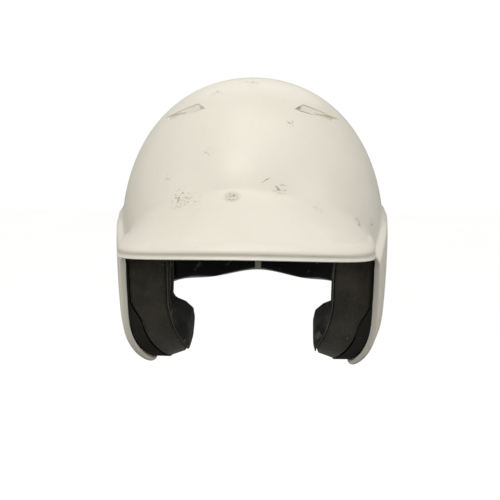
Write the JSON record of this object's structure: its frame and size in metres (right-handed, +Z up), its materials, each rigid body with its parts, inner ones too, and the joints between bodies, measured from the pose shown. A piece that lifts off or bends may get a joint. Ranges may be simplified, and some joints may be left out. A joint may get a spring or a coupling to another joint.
{
  "type": "batting helmet",
  "caption": "Ball-sport batting helmet: domed moulded shell with a front bill, two vents, ear flaps with ear holes, and glued foam padding inside.",
  "frame": {"origin": "on the symmetry plane, at the middle of the level where the dome is widest, where the wearer's head is seated", "axes": "+Z up through the crown, -Y towards the bill, +X to the right of someone who faces the bill, which is the wearer's left"},
  "size_m": [0.2152, 0.2894, 0.2298],
  "materials": {
    "shell": "satin, scuffed",
    "black_foam": "closed-cell foam, matte",
    "base_foam": "closed-cell foam, matte",
    "comfort_foam": "felt-like open-cell foam",
    "liner_cloth": "knitted lining"
  },
  "bodies": {
    "root": {"shell": "shell", "forehead_pad": "black_foam", "forehead_liner": "liner_cloth", "crown_pad": "black_foam", "crown_liner": "liner_cloth", "side_pad_l": "black_foam", "side_pad_r": "black_foam", "side_liner_l": "liner_cloth", "side_liner_r": "liner_cloth", "rear_pad_l": "black_foam", "rear_pad_r": "black_foam", "rear_liner_l": "liner_cloth", "rear_liner_r": "liner_cloth", "ear_base_foam_l": "base_foam", "ear_base_foam_r": "base_foam", "ear_comfort_foam_l": "comfort_foam", "ear_comfort_foam_r": "comfort_foam", "ear_liner_l": "liner_cloth", "ear_liner_r": "liner_cloth"}
  },
  "joints": []
}
